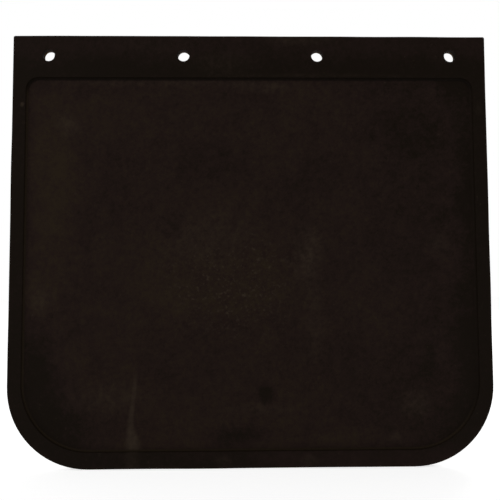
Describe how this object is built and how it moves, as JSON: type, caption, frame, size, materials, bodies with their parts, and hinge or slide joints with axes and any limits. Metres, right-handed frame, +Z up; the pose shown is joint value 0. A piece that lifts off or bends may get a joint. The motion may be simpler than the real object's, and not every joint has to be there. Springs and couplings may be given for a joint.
{
  "type": "mud flap",
  "caption": "Black moulded rubber truck mud flap with a raised rim and bolt-hole mounting band round a recessed panel; the panel flexes on sprung bend lines below the band.",
  "frame": {"origin": "middle of the bolt-hole line, on the flat back face of the mounting band", "axes": "+X to the right seen from the front, along the top edge; +Y out of the flat back face, towards the hanger; +Z up, so the flap hangs towards -Z"},
  "size_m": [0.508, 0.0095, 0.4572],
  "materials": {
    "front_rubber": "matte",
    "ply_fabric": "matte",
    "back_rubber": "matte"
  },
  "bodies": {
    "mounting_band": {"band_front_cover": "front_rubber", "band_fabric_ply": "ply_fabric", "band_back_cover": "back_rubber"},
    "panel_strip_1": {"strip_1_front_cover": "front_rubber", "strip_1_fabric_ply": "ply_fabric", "strip_1_back_cover": "back_rubber"},
    "panel_strip_2": {"strip_2_front_cover": "front_rubber", "strip_2_fabric_ply": "ply_fabric", "strip_2_back_cover": "back_rubber"},
    "panel_strip_3": {"strip_3_front_cover": "front_rubber", "strip_3_fabric_ply": "ply_fabric", "strip_3_back_cover": "back_rubber"},
    "panel_strip_4": {"strip_4_front_cover": "front_rubber", "strip_4_fabric_ply": "ply_fabric", "strip_4_back_cover": "back_rubber"},
    "panel_strip_5": {"strip_5_front_cover": "front_rubber", "strip_5_fabric_ply": "ply_fabric", "strip_5_back_cover": "back_rubber"},
    "panel_strip_6": {"strip_6_front_cover": "front_rubber", "strip_6_fabric_ply": "ply_fabric", "strip_6_back_cover": "back_rubber"},
    "panel_strip_7": {"strip_7_front_cover": "front_rubber", "strip_7_fabric_ply": "ply_fabric", "strip_7_back_cover": "back_rubber"},
    "panel_strip_8": {"strip_8_front_cover": "front_rubber", "strip_8_fabric_ply": "ply_fabric", "strip_8_back_cover": "back_rubber"}
  },
  "joints": [
    {"name": "flex_1", "type": "hinge", "parent": "mounting_band", "child": "panel_strip_1", "pos_m": [0, -0.00476, -0.0485], "axis": [1, 0, 0], "range_deg": [-10, 10], "stiffness_Nm_per_rad": 2},
    {"name": "flex_2", "type": "hinge", "parent": "panel_strip_1", "child": "panel_strip_2", "pos_m": [0, -0.00476, -0.0969], "axis": [1, 0, 0], "range_deg": [-10, 10], "stiffness_Nm_per_rad": 2},
    {"name": "flex_3", "type": "hinge", "parent": "panel_strip_2", "child": "panel_strip_3", "pos_m": [0, -0.00476, -0.1453], "axis": [1, 0, 0], "range_deg": [-10, 10], "stiffness_Nm_per_rad": 2},
    {"name": "flex_4", "type": "hinge", "parent": "panel_strip_3", "child": "panel_strip_4", "pos_m": [0, -0.00476, -0.1937], "axis": [1, 0, 0], "range_deg": [-10, 10], "stiffness_Nm_per_rad": 2},
    {"name": "flex_5", "type": "hinge", "parent": "panel_strip_4", "child": "panel_strip_5", "pos_m": [0, -0.00476, -0.2421], "axis": [1, 0, 0], "range_deg": [-10, 10], "stiffness_Nm_per_rad": 2},
    {"name": "flex_6", "type": "hinge", "parent": "panel_strip_5", "child": "panel_strip_6", "pos_m": [0, -0.00476, -0.2905], "axis": [1, 0, 0], "range_deg": [-10, 10], "stiffness_Nm_per_rad": 2},
    {"name": "flex_7", "type": "hinge", "parent": "panel_strip_6", "child": "panel_strip_7", "pos_m": [0, -0.00476, -0.3389], "axis": [1, 0, 0], "range_deg": [-10, 10], "stiffness_Nm_per_rad": 2},
    {"name": "flex_8", "type": "hinge", "parent": "panel_strip_7", "child": "panel_strip_8", "pos_m": [0, -0.00476, -0.3873], "axis": [1, 0, 0], "range_deg": [-10, 10], "stiffness_Nm_per_rad": 2}
  ]
}
